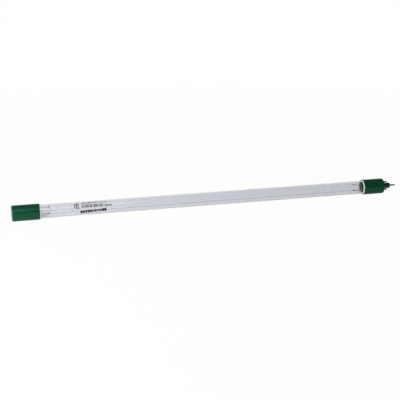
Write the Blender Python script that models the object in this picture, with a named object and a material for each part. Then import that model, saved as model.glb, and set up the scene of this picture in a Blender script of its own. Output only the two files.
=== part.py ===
"""Single-ended germicidal lamp: a fused-quartz tube of 15 mm with a closed green cap on one end and a
green four-pin base with a stepped nose on the other. The lamp lies on its two caps, along X."""

import math

import bmesh
import bpy
from mathutils import Vector

MM = 0.001

# Quartz envelope, pinched flat at both ends over the foils of its leads.
TUBE_DIAMETER = 15.0 * MM
TUBE_WALL = 1.0 * MM
VISIBLE_TUBE = 374.2 * MM
TUBE_INSERT = 6.2 * MM
SHOULDER_TAPER = 5.5 * MM
PINCH_THICKNESS = 3.4 * MM
PINCH_EDGE = 1.4 * MM
PINCH_SQUARENESS = 7
DISCHARGE_END_WIDTH = 9.2 * MM
DISCHARGE_END_THICKNESS = 1.0 * MM
EXHAUST_DIAMETER = 2.8 * MM
EXHAUST_BORE = 1.0 * MM
EXHAUST_REACH = 2.6 * MM

# Caps, and the cement and seal bead that hold them.
CAP_WALL = 0.7 * MM
CEMENT_THICKNESS = 0.25 * MM
CEMENT_DEPTH = 5.6 * MM
SKIN_GAP = 0.15 * MM
BLIND_FLOOR = 2.0 * MM
BLIND_EDGE_RADIUS = 1.2 * MM
LOOP_ROOM = 8.1 * MM
BASE_FLOOR = 2.7 * MM
BASE_EDGE_RADIUS = 1.5 * MM
WIRING_ROOM = 3.4 * MM
MOUTH_BEVEL = 0.15 * MM
BEAD_HEIGHT = 0.62 * MM
BEAD_LENGTH = 1.2 * MM
BEAD_GAP = 0.1 * MM

# Nose of the base.
NOSE_HEIGHT = 7.2 * MM
NOSE_WIDTH = 6.4 * MM
NOSE_INSET = 2.55 * MM
NOSE_WALL = 1.2 * MM
NOSE_TIP_WALL = 2.0 * MM
NOSE_EDGE_BEVEL = 0.4 * MM

# Contact pins.
PIN_DIAMETER = 1.6 * MM
PIN_POINT_DIAMETER = 0.3 * MM
PIN_FIT = 0.1 * MM
PIN_COLLAR_STEP = 0.3 * MM
PIN_COLLAR_HEIGHT = 0.6 * MM
PIN_COLLAR_GAP = 0.1 * MM
PIN_BORE_GAP = 0.12 * MM
LONG_PIN_REACH = 7.8 * MM
LONG_PIN_POINT = 1.9 * MM
LONG_PIN_TAIL = 2.6 * MM
LONG_PIN_EDGE = 2.6 * MM
SHORT_PIN_REACH = 6.0 * MM
SHORT_PIN_POINT = 1.2 * MM
SHORT_PIN_TAIL = 1.5 * MM
SHORT_PIN_CLEARANCE = 0.3 * MM

# Electrodes and their seals.
LEAD_OFFSET = 3.4 * MM
LEAD_DIAMETER = 0.7 * MM
HOOK_GAP = 0.2 * MM
HOOK_TURN = math.radians(225)
BLIND_ELECTRODE_REACH = 10.5 * MM
BASE_ELECTRODE_REACH = 11.2 * MM
BLIND_ELECTRODE_RISE = 0.9 * MM
BASE_ELECTRODE_RISE = 0.3 * MM
FOIL_WIDTH = 2.6 * MM
FOIL_THICKNESS = 0.1 * MM
FOIL_LENGTH = 4.1 * MM
SEAL_GAP = 0.2 * MM
SEAL_HOLE_DEPTH = 1.5 * MM
COIL_WIRE_DIAMETER = 0.22 * MM
COIL_DIAMETER = 1.5 * MM
COIL_TO_LEAD = 0.75 * MM
COIL_TURNS = 8
COIL_BOW = 1.6 * MM
COIL_TAIL = 0.6 * MM

# Wires outside the quartz. The angles are below the pin plane's middle, on the near side.
BASE_WIRE_DIAMETER = 0.5 * MM
RETURN_WIRE_DIAMETER = 0.24 * MM
NEAR_WIRE_ANGLE = math.radians(21)
FAR_WIRE_ANGLE = math.radians(54)
LOOP_CLEARANCE = 3.8 * MM

# The pin plane leans back from the vertical.
LEAN = math.radians(15)

# Fineness of the round forms.
TUBE_SIDES = 48
CAP_SIDES = 32
PIN_SIDES = 16
EDGE_STEPS = 6
TAPER_STEPS = 8
BEND_STEPS = 10
COIL_STEPS = 12
SMOOTH_ANGLE = math.radians(35)

# Sizes that follow from the ones above.
TUBE_RADIUS = TUBE_DIAMETER / 2
PINCH_LENGTH = 2 * SEAL_HOLE_DEPTH + 2 * SEAL_GAP + FOIL_LENGTH
PINCH_WIDTH = 2 * (LEAD_OFFSET + FOIL_WIDTH / 2 + SEAL_GAP + PINCH_EDGE)
SEAL_LENGTH = TUBE_INSERT + SHOULDER_TAPER + PINCH_LENGTH
CEMENT_INNER = TUBE_RADIUS + SKIN_GAP
CEMENT_OUTER = CEMENT_INNER + CEMENT_THICKNESS
CAP_INNER = CEMENT_OUTER + SKIN_GAP
CAP_RADIUS = CAP_INNER + CAP_WALL
AXIS_HEIGHT = CAP_RADIUS * math.cos(math.pi / CAP_SIDES)
X_BLIND_PINCH_END = BLIND_FLOOR + LOOP_ROOM
X_BLIND_MOUTH = X_BLIND_PINCH_END + SEAL_LENGTH
X_BASE_MOUTH = X_BLIND_MOUTH + VISIBLE_TUBE
X_BASE_FLOOR = X_BASE_MOUTH + SEAL_LENGTH + WIRING_ROOM
X_SHOULDER = X_BASE_FLOOR + BASE_FLOOR
X_NOSE = X_SHOULDER + NOSE_HEIGHT
X_NOSE_POCKET = X_NOSE - NOSE_TIP_WALL
X_TIP = X_NOSE + LONG_PIN_REACH
NOSE_LENGTH = 2 * (CAP_RADIUS - NOSE_INSET)
LONG_PIN_OFFSET = NOSE_LENGTH / 2 - LONG_PIN_EDGE
SHORT_PIN_OFFSET = (NOSE_WIDTH + PIN_DIAMETER) / 2 + SHORT_PIN_CLEARANCE
RETURN_WIRE_RADIUS = CEMENT_INNER + CEMENT_THICKNESS / 2
HOOK_RADIUS = (LEAD_DIAMETER + COIL_WIRE_DIAMETER) / 2 + HOOK_GAP
COIL_HALF_LENGTH = LEAD_OFFSET - LEAD_DIAMETER / 2 - COIL_TO_LEAD

COLOURS = {
    "green_moulding": ((0.012, 0.085, 0.045, 1.0), 0.3, 0.0),
    "quartz": ((0.86, 0.88, 0.93, 0.35), 0.04, 0.0),
    "basing_cement": ((0.13, 0.065, 0.045, 1.0), 0.85, 0.0),
    "seal_bead": ((0.85, 0.85, 0.82, 1.0), 0.6, 0.0),
    "pin_metal": ((0.33, 0.30, 0.26, 1.0), 0.35, 1.0),
    "lead_metal": ((0.42, 0.42, 0.44, 1.0), 0.4, 1.0),
    "foil_metal": ((0.36, 0.35, 0.38, 1.0), 0.35, 1.0),
    "coil_metal": ((0.5, 0.5, 0.5, 1.0), 0.7, 0.4),
}


def clear_scene():
    """Removes whatever the file starts with."""
    for item in list(bpy.data.objects):
        bpy.data.objects.remove(item)


def material(name):
    """The named material, made once from its colour, roughness and metallic value."""
    found = bpy.data.materials.get(name)
    if found:
        return found
    colour, roughness, metallic = COLOURS[name]
    made = bpy.data.materials.new(name)
    made.use_nodes = True
    shader = made.node_tree.nodes["Principled BSDF"]
    shader.inputs["Base Color"].default_value = colour
    shader.inputs["Roughness"].default_value = roughness
    shader.inputs["Metallic"].default_value = metallic
    shader.inputs["Alpha"].default_value = colour[3]
    made.diffuse_color = colour
    return made


def place(name, data, finish, parent, location=(0, 0, 0)):
    """Links a new object under the lamp's axis, at its own place along it."""
    item = bpy.data.objects.new(name, data)
    bpy.context.scene.collection.objects.link(item)
    item.parent = parent
    item.location = location
    if finish:
        data.materials.append(material(finish))
    else:
        item.hide_render = True
        item.display_type = "WIRE"
    return item


def mesh_from(bm, name, smooth=True):
    """Turns a bmesh into a mesh with its faces pointing out, and shades its round parts smooth."""
    bmesh.ops.recalc_face_normals(bm, faces=bm.faces)
    mesh = bpy.data.meshes.new(name)
    bm.to_mesh(mesh)
    bm.free()
    if smooth:
        mesh.shade_smooth()
        mesh.set_sharp_from_angle(angle=SMOOTH_ANGLE)
    return mesh


def turned_mesh(name, profile, sides=CAP_SIDES, closed=False):
    """A body of revolution about X. The profile is a list of (x, radius), from axis to axis, or a closed
    loop for a ring. It starts half a side off the lowest line, so that a flat lies underneath."""
    bm = bmesh.new()
    start = LEAN + math.pi / sides
    down = Vector((0, math.sin(start), -math.cos(start)))
    points = [bm.verts.new(Vector((x, 0, 0)) + down * radius) for x, radius in profile]
    edges = [bm.edges.new(pair) for pair in zip(points, points[1:])]
    if closed:
        edges.append(bm.edges.new((points[-1], points[0])))
    bmesh.ops.spin(
        bm,
        geom=points + edges,
        cent=(0, 0, 0),
        axis=(1, 0, 0),
        angle=2 * math.pi,
        steps=sides,
        use_merge=True,
    )
    bmesh.ops.remove_doubles(bm, verts=bm.verts, dist=1e-7)
    return mesh_from(bm, name)


def arc(centre, radius, start, end):
    """Points of an arc in a profile, from one angle to another."""
    angles = [start + (end - start) * i / EDGE_STEPS for i in range(EDGE_STEPS + 1)]
    return [(centre[0] + radius * math.cos(a), centre[1] + radius * math.sin(a)) for a in angles]


def squared_ring(x, half_width, half_thickness, exponent):
    """One section across the tube: a circle at exponent 2, a rounded bar at a high exponent. It is wide
    along Z, the plane of the leads, and thin along Y."""
    ring = []
    for i in range(TUBE_SIDES):
        angle = 2 * math.pi * (i + 0.5) / TUBE_SIDES
        c, s = math.cos(angle), math.sin(angle)
        y = half_thickness * math.copysign(abs(c) ** (2 / exponent), c)
        z = half_width * math.copysign(abs(s) ** (2 / exponent), s)
        ring.append(Vector((x, y, z)))
    return ring


def lofted_mesh(name, rings):
    """A closed skin over a row of sections, with a flat cap on the first and the last."""
    bm = bmesh.new()
    loops = [[bm.verts.new(point) for point in ring] for ring in rings]
    count = len(loops[0])
    for one, two in zip(loops, loops[1:]):
        for i in range(count):
            j = (i + 1) % count
            bm.faces.new((one[i], one[j], two[j], two[i]))
    bm.faces.new(loops[0])
    bm.faces.new(reversed(loops[-1]))
    return mesh_from(bm, name)


def smooth_step(share):
    """Turns an even share of the way into one that starts and ends gently."""
    return share * share * (3 - 2 * share)


def closing_rings(x_round, direction, radius, width, thickness, length):
    """Sections of a tube end that closes from a circle to a flat bar over the given length. direction is
    -1 towards the blind end and 1 towards the base."""
    rings = []
    for i in range(TAPER_STEPS + 1):
        share = i / TAPER_STEPS
        eased = smooth_step(share)
        half_width = radius + (width / 2 - radius) * eased
        half_thickness = radius + (thickness / 2 - radius) * eased
        squareness = 2 + (PINCH_SQUARENESS - 2) * eased
        rings.append(squared_ring(x_round + direction * length * share, half_width, half_thickness, squareness))
    return rings


def bar_mesh(name, low, high):
    """A plain rectangular bar between two corners."""
    bm = bmesh.new()
    bmesh.ops.create_cube(bm, size=1)
    low, high = Vector(low), Vector(high)
    bmesh.ops.scale(bm, vec=high - low, verts=bm.verts)
    bmesh.ops.translate(bm, vec=(low + high) / 2, verts=bm.verts)
    return mesh_from(bm, name, smooth=False)


def obround_mesh(name, x_low, x_high, width, length):
    """A block with round ends: width across Z, length along Y, standing along X."""
    bm = bmesh.new()
    radius = width / 2
    straight = length / 2 - radius
    outline = []
    for side in (1, -1):
        for i in range(BEND_STEPS + 1):
            angle = -math.pi / 2 + math.pi * i / BEND_STEPS
            outline.append((side * (straight + radius * math.cos(angle)), side * radius * math.sin(angle)))
    face = bm.faces.new([bm.verts.new((x_low, y, z)) for y, z in outline])
    grown = bmesh.ops.extrude_face_region(bm, geom=[face])
    top = [v for v in grown["geom"] if isinstance(v, bmesh.types.BMVert)]
    bmesh.ops.translate(bm, vec=(x_high - x_low, 0, 0), verts=top)
    return mesh_from(bm, name)


def round_edges(item, width):
    """Rounds the item's sharp edges."""
    bevel = item.modifiers.new("edge", "BEVEL")
    bevel.width = width
    bevel.segments = 2
    bevel.limit_method = "ANGLE"
    bevel.angle_limit = math.radians(60)


def boolean(item, other, operation):
    """Joins or cuts the item with another object."""
    modifier = item.modifiers.new(f"{operation.lower()} {other.name}", "BOOLEAN")
    modifier.operation = operation
    modifier.solver = "EXACT"
    modifier.object = other


def gentle_bend(start, end):
    """Points of an S along X from one point to another, level at both ends."""
    points = []
    for i in range(BEND_STEPS + 1):
        share = i / BEND_STEPS
        point = start.lerp(end, smooth_step(share))
        point.x = start.x + (end.x - start.x) * share
        points.append(point)
    return points


def loop_back(start, end, depth):
    """Points of half an ellipse that leaves a point towards -X and comes back beside it."""
    points = []
    for i in range(BEND_STEPS + 1):
        angle = math.pi * i / BEND_STEPS
        point = start.lerp(end, (1 - math.cos(angle)) / 2)
        point.x -= depth * math.sin(angle)
        points.append(point)
    return points


def wire(name, points, diameter, finish, parent, bevel_resolution=2):
    """A round wire along a row of points, with closed ends."""
    curve = bpy.data.curves.new(name, "CURVE")
    curve.dimensions = "3D"
    curve.bevel_depth = diameter / 2
    curve.bevel_resolution = bevel_resolution
    curve.use_fill_caps = True
    spline = curve.splines.new("POLY")
    spline.points.add(len(points) - 1)
    for target, point in zip(spline.points, points):
        target.co = (*point, 1)
    return place(name, curve, finish, parent)


def channel_cutter(name, start, end, diameter, parent):
    """A straight round cutter between two points that share a line along X."""
    mesh = turned_mesh(
        name,
        [(0, 0), (0, diameter / 2), (end[0] - start[0], diameter / 2), (end[0] - start[0], 0)],
        sides=PIN_SIDES,
    )
    return place(name, mesh, None, parent, start)


def seal_stations(end):
    """Where the round tube stops and where the pinch starts and ends, along X, and the way outwards."""
    direction = -1 if end == "blind" else 1
    mouth = X_BLIND_MOUTH if end == "blind" else X_BASE_MOUTH
    x_round = mouth + direction * TUBE_INSERT
    x_pinch = x_round + direction * SHOULDER_TAPER
    return x_round, x_pinch, mouth + direction * SEAL_LENGTH, direction


def foil_span(end):
    """The two X values between which a seal foil lies, the outer one first."""
    _, _, x_end, direction = seal_stations(end)
    x_outer = x_end - direction * (SEAL_HOLE_DEPTH + SEAL_GAP)
    return x_outer, x_outer - direction * FOIL_LENGTH


def envelope(parent):
    """The quartz tube, blown as one piece and pinched flat at both ends over the foils of its leads."""
    outer, inner = [], []
    for end in ("blind", "base"):
        x_round, x_pinch, x_end, direction = seal_stations(end)
        skin = closing_rings(x_round, direction, TUBE_RADIUS, PINCH_WIDTH, PINCH_THICKNESS, SHOULDER_TAPER)
        skin.append(squared_ring(x_end, PINCH_WIDTH / 2, PINCH_THICKNESS / 2, PINCH_SQUARENESS))
        space = closing_rings(
            x_round,
            direction,
            TUBE_RADIUS - TUBE_WALL,
            DISCHARGE_END_WIDTH,
            DISCHARGE_END_THICKNESS,
            SHOULDER_TAPER - TUBE_WALL / 2,
        )
        outer.append(skin)
        inner.append(space)
    skin_rings = outer[0][::-1] + outer[1]
    space_rings = inner[0][::-1] + inner[1]
    tube = place("quartz_envelope", lofted_mesh("quartz_envelope", skin_rings), "quartz", parent)
    boolean(tube, exhaust_tip(parent), "UNION")
    space = place("discharge_space", lofted_mesh("discharge_space", space_rings), None, parent)
    boolean(tube, space, "DIFFERENCE")
    boolean(tube, exhaust_bore(parent), "DIFFERENCE")
    for end in ("blind", "base"):
        for side, z in (("upper", LEAD_OFFSET), ("lower", -LEAD_OFFSET)):
            for cutter in lead_seal_cutters(end, side, z, parent):
                boolean(tube, cutter, "DIFFERENCE")


def exhaust_tip(parent):
    """The stub of the exhaust tube between the foils of the blind pinch, melted shut to a round end."""
    _, x_pinch, x_end, _ = seal_stations("blind")
    radius = EXHAUST_DIAMETER / 2
    profile = arc((x_end - EXHAUST_REACH + radius, 0), radius, math.pi, math.pi / 2)
    profile[0] = (x_end - EXHAUST_REACH, 0)
    profile += [(x_pinch, radius), (x_pinch, 0)]
    return place("exhaust_tip", turned_mesh("exhaust_tip", profile, PIN_SIDES), None, parent)


def exhaust_bore(parent):
    """The narrow bore that joins the exhaust tip to the discharge space."""
    x_round, _, x_end, _ = seal_stations("blind")
    return channel_cutter("exhaust_bore", (x_end, 0, 0), (x_round, 0, 0), EXHAUST_BORE, parent)


def lead_seal_cutters(end, side, z, parent):
    """The room that one lead, its foil and its outer wire take up in the pinch."""
    _, x_pinch, x_end, direction = seal_stations(end)
    foil_outer, foil_inner = foil_span(end)
    wire_diameter = RETURN_WIRE_DIAMETER if end == "blind" else BASE_WIRE_DIAMETER
    outer_bore = (x_end + direction * SEAL_GAP, foil_outer - direction * SEAL_GAP)
    inner_bore = (foil_inner + direction * SEAL_GAP, x_pinch - direction * SHOULDER_TAPER / 2)
    cutters = []
    for label, bore, diameter in (
        ("outer", outer_bore, wire_diameter + 2 * SEAL_GAP),
        ("inner", inner_bore, LEAD_DIAMETER + 2 * SEAL_GAP),
    ):
        low, high = sorted(bore)
        cutters.append(
            channel_cutter(f"{end}_{side}_{label}_bore", (low, 0, z), (high, 0, z), diameter, parent)
        )
    low, high = sorted((foil_outer + direction * SEAL_GAP, foil_inner - direction * SEAL_GAP))
    slot = bar_mesh(
        f"{end}_{side}_foil_slot",
        (low, -FOIL_THICKNESS / 2 - SEAL_GAP, z - FOIL_WIDTH / 2 - SEAL_GAP),
        (high, FOIL_THICKNESS / 2 + SEAL_GAP, z + FOIL_WIDTH / 2 + SEAL_GAP),
    )
    cutters.append(place(slot.name, slot, None, parent))
    return cutters


def seal_foils(end, parent):
    """The two molybdenum foils that carry the current through the pinch."""
    foil_outer, foil_inner = foil_span(end)
    low, high = sorted((foil_outer, foil_inner))
    for side, z in (("upper", LEAD_OFFSET), ("lower", -LEAD_OFFSET)):
        name = f"{end}_{side}_foil"
        mesh = bar_mesh(
            name,
            (low, -FOIL_THICKNESS / 2, z - FOIL_WIDTH / 2),
            (high, FOIL_THICKNESS / 2, z + FOIL_WIDTH / 2),
        )
        place(name, mesh, "foil_metal", parent)


def electrode_place(end):
    """Where the coil's ends are held, along X, and how far its middle has risen off the axis along Z."""
    if end == "blind":
        return X_BLIND_MOUTH + BLIND_ELECTRODE_REACH, BLIND_ELECTRODE_RISE
    return X_BASE_MOUTH - BASE_ELECTRODE_REACH, BASE_ELECTRODE_RISE


def inner_leads(end, parent):
    """The two stiff leads from the foils to the coil. They rise a little on the way, and each ends in an open
    hook that turns about Z."""
    x_round, _, _, direction = seal_stations(end)
    _, foil_inner = foil_span(end)
    x_hook, rise = electrode_place(end)
    for side, z in (("upper", LEAD_OFFSET), ("lower", -LEAD_OFFSET)):
        points = [Vector((foil_inner - direction * SEAL_GAP, 0, z)), Vector((x_round, 0, z))]
        for i in range(BEND_STEPS + 1):
            angle = HOOK_TURN * i / BEND_STEPS
            forward = HOOK_RADIUS * math.sin(angle)
            aside = HOOK_RADIUS * (1 - math.cos(angle))
            points.append(Vector((x_hook - direction * forward, aside, z + rise)))
        wire(f"{end}_{side}_lead", points, LEAD_DIAMETER, "lead_metal", parent)


def filament(end, parent):
    """The tungsten coil: a helix about Z that bows towards the middle of the lamp, with a straight tail at
    each end that lies in the hook of a lead."""
    _, _, _, direction = seal_stations(end)
    x_hook, rise = electrode_place(end)
    centre = Vector((x_hook, HOOK_RADIUS, rise))
    coil_radius = (COIL_DIAMETER - COIL_WIRE_DIAMETER) / 2
    at_lead = LEAD_OFFSET - (LEAD_DIAMETER + COIL_WIRE_DIAMETER) / 2

    def on_bow(z):
        bow = COIL_BOW * math.cos(math.pi * z / (2 * at_lead)) ** 2 if abs(z) < at_lead else 0.0
        return centre + Vector((-direction * bow, 0, z))

    tail_end = LEAD_OFFSET + LEAD_DIAMETER / 2 + COIL_TAIL
    tail = [tail_end, LEAD_OFFSET, at_lead, (at_lead + COIL_HALF_LENGTH) / 2]
    points = [on_bow(-z) for z in tail]
    count = COIL_TURNS * COIL_STEPS
    for i in range(count + 1):
        share = i / count
        angle = 2 * math.pi * COIL_TURNS * share
        grown = min(1.0, share * COIL_TURNS, (1 - share) * COIL_TURNS)
        across = Vector((math.cos(angle), math.sin(angle), 0)) * coil_radius * grown
        points.append(on_bow(COIL_HALF_LENGTH * (2 * share - 1)) + across)
    points += [on_bow(z) for z in reversed(tail)]
    wire(f"{end}_filament", points, COIL_WIRE_DIAMETER, "coil_metal", parent, bevel_resolution=1)


def blind_cap(parent):
    """The closed green cap: a moulded cup with a rounded outer edge."""
    corner = (BLIND_EDGE_RADIUS, CAP_RADIUS - BLIND_EDGE_RADIUS)
    profile = [(0, 0)]
    profile += arc(corner, BLIND_EDGE_RADIUS, math.pi, math.pi / 2)
    profile += [
        (X_BLIND_MOUTH - MOUTH_BEVEL, CAP_RADIUS),
        (X_BLIND_MOUTH, CAP_RADIUS - MOUTH_BEVEL),
        (X_BLIND_MOUTH, CAP_INNER),
        (BLIND_FLOOR, CAP_INNER),
        (BLIND_FLOOR, 0),
    ]
    place("blind_cap", turned_mesh("blind_cap", profile), "green_moulding", parent)


def base_shell(parent):
    """The green base: a cup with a round shoulder, a hollow obround nose and four pin holes."""
    corner = (X_SHOULDER - BASE_EDGE_RADIUS, CAP_RADIUS - BASE_EDGE_RADIUS)
    profile = [
        (X_BASE_FLOOR, 0),
        (X_BASE_FLOOR, CAP_INNER),
        (X_BASE_MOUTH, CAP_INNER),
        (X_BASE_MOUTH, CAP_RADIUS - MOUTH_BEVEL),
        (X_BASE_MOUTH + MOUTH_BEVEL, CAP_RADIUS),
    ]
    profile += arc(corner, BASE_EDGE_RADIUS, math.pi / 2, 0)
    profile.append((X_SHOULDER, 0))
    shell = place("base_shell", turned_mesh("base_shell", profile), "green_moulding", parent)
    x_root = X_SHOULDER - BASE_FLOOR / 2
    block = obround_mesh("nose_block", x_root, X_NOSE, NOSE_WIDTH, NOSE_LENGTH)
    nose = place("nose_block", block, None, parent)
    round_edges(nose, NOSE_EDGE_BEVEL)
    boolean(shell, nose, "UNION")
    inner_width = NOSE_WIDTH - 2 * NOSE_WALL
    inner_length = NOSE_LENGTH - 2 * NOSE_WALL
    hollow = obround_mesh("nose_pocket", X_BASE_FLOOR - NOSE_WALL, X_NOSE_POCKET, inner_width, inner_length)
    boolean(shell, place("nose_pocket", hollow, None, parent), "DIFFERENCE")
    for name, (y, z), inner_face, outer_face in pin_places():
        start = (inner_face - PIN_DIAMETER, y, z)
        end = (outer_face + PIN_DIAMETER, y, z)
        hole = channel_cutter(f"{name}_hole", start, end, PIN_DIAMETER + 2 * PIN_FIT, parent)
        boolean(shell, hole, "DIFFERENCE")


def pin_places():
    """Each pin's name, its place across the base, and the inner and outer faces of the wall it stands in."""
    return [
        ("near_long_pin", (-LONG_PIN_OFFSET, 0), X_NOSE_POCKET, X_NOSE),
        ("far_long_pin", (LONG_PIN_OFFSET, 0), X_NOSE_POCKET, X_NOSE),
        ("upper_short_pin", (0, SHORT_PIN_OFFSET), X_BASE_FLOOR, X_SHOULDER),
        ("lower_short_pin", (0, -SHORT_PIN_OFFSET), X_BASE_FLOOR, X_SHOULDER),
    ]


def contact_pins(parent):
    """The four turned pins. Each has a pointed end, a collar behind the wall and a bored tail for its wire."""
    for name, (y, z), inner_face, outer_face in pin_places():
        is_long = "long" in name
        reach = LONG_PIN_REACH if is_long else SHORT_PIN_REACH
        tail = LONG_PIN_TAIL if is_long else SHORT_PIN_TAIL
        point = LONG_PIN_POINT if is_long else SHORT_PIN_POINT
        wire_diameter = RETURN_WIRE_DIAMETER if is_long else BASE_WIRE_DIAMETER
        bore = wire_diameter / 2 + PIN_BORE_GAP
        radius = PIN_DIAMETER / 2
        collar = radius + PIN_COLLAR_STEP
        collar_back = -PIN_COLLAR_GAP - PIN_COLLAR_HEIGHT
        wall = outer_face - inner_face
        tip = wall + reach
        profile = [
            (wall / 2, 0),
            (wall / 2, bore),
            (-tail, bore),
            (-tail, radius),
            (collar_back, radius),
            (collar_back, collar),
            (-PIN_COLLAR_GAP, collar),
            (-PIN_COLLAR_GAP, radius),
            (tip - point, radius),
            (tip - point / 4, (radius + PIN_POINT_DIAMETER) / 2),
            (tip, PIN_POINT_DIAMETER / 2),
            (tip, 0),
        ]
        mesh = turned_mesh(name, profile, sides=PIN_SIDES)
        place(name, mesh, "pin_metal", parent, (inner_face, y, z))


def beside_tube(x, angle):
    """The place of a return wire along the quartz, on the near side, below the middle by the angle."""
    return Vector((x, -RETURN_WIRE_RADIUS * math.cos(angle), -RETURN_WIRE_RADIUS * math.sin(angle)))


def return_wires(parent):
    """The two bare wires that bring the blind electrode's current back to the long pins. They leave the blind
    pinch, loop back in the closed cap, lie along the quartz and cross over in the base. The near one bends
    in beside the pinch, and the far one past its end."""
    pins = {name: place_across for name, place_across, _, _ in pin_places()}
    foil_outer, _ = foil_span("blind")
    x_base_pinch_end = X_BASE_FLOOR - WIRING_ROOM
    for label, angle, lead_z, pin, x_leave in (
        ("near", NEAR_WIRE_ANGLE, LEAD_OFFSET, "near_long_pin", x_base_pinch_end - PINCH_LENGTH),
        ("far", FAR_WIRE_ANGLE, -LEAD_OFFSET, "far_long_pin", x_base_pinch_end - SEAL_HOLE_DEPTH),
    ):
        leaving = Vector((X_BLIND_PINCH_END, 0, lead_z))
        points = [Vector((foil_outer - SEAL_GAP, 0, lead_z))]
        points += loop_back(leaving, beside_tube(X_BLIND_PINCH_END, angle), LOOP_ROOM - LOOP_CLEARANCE)
        points += gentle_bend(beside_tube(x_leave, angle), Vector((X_SHOULDER, *pins[pin])))
        points.append(Vector((X_NOSE_POCKET, *pins[pin])))
        wire(f"{label}_return_wire", points, RETURN_WIRE_DIAMETER, "lead_metal", parent)


def base_wires(parent):
    """The two short wires from the base pinch to the short pins."""
    foil_outer, _ = foil_span("base")
    x_tail = X_BASE_FLOOR - SHORT_PIN_TAIL
    for side, sign in (("upper", 1), ("lower", -1)):
        points = [Vector((foil_outer + SEAL_GAP, 0, sign * LEAD_OFFSET))]
        start = Vector((X_BASE_FLOOR - WIRING_ROOM, 0, sign * LEAD_OFFSET))
        points += gentle_bend(start, Vector((x_tail - SEAL_GAP, 0, sign * SHORT_PIN_OFFSET)))
        points.append(Vector((X_BASE_FLOOR, 0, sign * SHORT_PIN_OFFSET)))
        wire(f"{side}_base_wire", points, BASE_WIRE_DIAMETER, "lead_metal", parent)


def cement_gap(parent):
    """A cutter for the gap that is left open in the cement round the return wires."""
    spread = RETURN_WIRE_RADIUS * (FAR_WIRE_ANGLE - NEAR_WIRE_ANGLE)
    half = (spread + RETURN_WIRE_DIAMETER) / 2 + SKIN_GAP
    mesh = bar_mesh("cement_gap", (0, -CAP_RADIUS, -half), (X_TIP, -TUBE_RADIUS / 2, half))
    gap = place("cement_gap", mesh, None, parent)
    gap.rotation_euler = ((NEAR_WIRE_ANGLE + FAR_WIRE_ANGLE) / 2, 0, 0)
    return gap


def cement_and_beads(parent):
    """The brown basing cement between quartz and cap, and the white bead that seals each cap's mouth. The
    return wires run through a gap in the cement, and in channels of their own under the beads."""
    gap = cement_gap(parent)
    channels = []
    for label, angle in (("near", NEAR_WIRE_ANGLE), ("far", FAR_WIRE_ANGLE)):
        start = beside_tube(X_BLIND_MOUTH - CEMENT_DEPTH, angle)
        end = beside_tube(X_BASE_MOUTH + CEMENT_DEPTH, angle)
        diameter = RETURN_WIRE_DIAMETER + 2 * SKIN_GAP
        channels.append(channel_cutter(f"{label}_wire_channel", start, end, diameter, parent))
    for end, mouth, inwards in (("blind", X_BLIND_MOUTH, -1), ("base", X_BASE_MOUTH, 1)):
        ring = [
            (mouth, CEMENT_INNER),
            (mouth, CEMENT_OUTER),
            (mouth + inwards * CEMENT_DEPTH, CEMENT_OUTER),
            (mouth + inwards * CEMENT_DEPTH, CEMENT_INNER),
        ]
        name = f"{end}_cement"
        cement = place(name, turned_mesh(name, ring, closed=True), "basing_cement", parent)
        boolean(cement, gap, "DIFFERENCE")
        foot = mouth - inwards * BEAD_GAP
        swell = []
        for i in range(EDGE_STEPS + 1):
            angle = math.pi / 2 * i / EDGE_STEPS
            x = foot - inwards * BEAD_LENGTH * math.sin(angle)
            swell.append((x, CEMENT_INNER + BEAD_HEIGHT * math.cos(angle)))
        name = f"{end}_seal_bead"
        bead_mesh = turned_mesh(name, [(foot, CEMENT_INNER)] + swell, closed=True)
        bead = place(name, bead_mesh, "seal_bead", parent)
        for channel in channels:
            boolean(bead, channel, "DIFFERENCE")


def main():
    clear_scene()
    axis = bpy.data.objects.new("lamp_axis", None)
    bpy.context.scene.collection.objects.link(axis)
    axis.location = (-X_TIP / 2, 0, AXIS_HEIGHT)
    axis.rotation_euler = (-LEAN, 0, 0)
    envelope(axis)
    blind_cap(axis)
    base_shell(axis)
    contact_pins(axis)
    for end in ("blind", "base"):
        seal_foils(end, axis)
        inner_leads(end, axis)
        filament(end, axis)
    cement_and_beads(axis)
    base_wires(axis)
    return_wires(axis)


main()
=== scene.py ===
"""The looks of a single-ended germicidal lamp: a clear quartz tube with its electrodes, a closed green cap,
a green pinned base and two bare wires along the glass, lying on a pale floor."""

import math
from functools import partial
from typing import NamedTuple

import bpy
import numpy as np
from bpy.props import FloatProperty, FloatVectorProperty, PointerProperty
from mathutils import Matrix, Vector


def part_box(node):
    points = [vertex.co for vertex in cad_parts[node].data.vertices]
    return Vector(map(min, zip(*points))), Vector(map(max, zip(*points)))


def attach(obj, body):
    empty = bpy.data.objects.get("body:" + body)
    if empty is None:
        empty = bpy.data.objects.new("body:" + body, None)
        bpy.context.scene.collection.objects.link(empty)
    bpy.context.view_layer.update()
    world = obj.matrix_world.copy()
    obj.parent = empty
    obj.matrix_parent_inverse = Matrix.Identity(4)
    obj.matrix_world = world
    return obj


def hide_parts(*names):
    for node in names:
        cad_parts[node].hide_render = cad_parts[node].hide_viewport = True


bl_info = {
    "name": "Germicidal lamp looks",
    "version": (1, 0, 0),
    "blender": (4, 5, 0),
    "location": "View3D > Sidebar > Lamp",
    "description": "Builds the visible surfaces of a pinned quartz germicidal lamp round its solids",
    "category": "Object",
}

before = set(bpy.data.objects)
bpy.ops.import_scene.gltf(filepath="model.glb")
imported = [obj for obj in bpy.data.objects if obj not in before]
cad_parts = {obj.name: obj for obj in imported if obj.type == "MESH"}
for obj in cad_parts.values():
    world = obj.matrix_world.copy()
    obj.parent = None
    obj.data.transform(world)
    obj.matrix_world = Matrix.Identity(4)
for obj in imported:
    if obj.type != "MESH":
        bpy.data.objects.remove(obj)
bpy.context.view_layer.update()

MM = 0.001


def corners(node):
    """Lowest and highest corner of a solid, as arrays."""
    low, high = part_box(node)
    return np.array(low), np.array(high)


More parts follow.
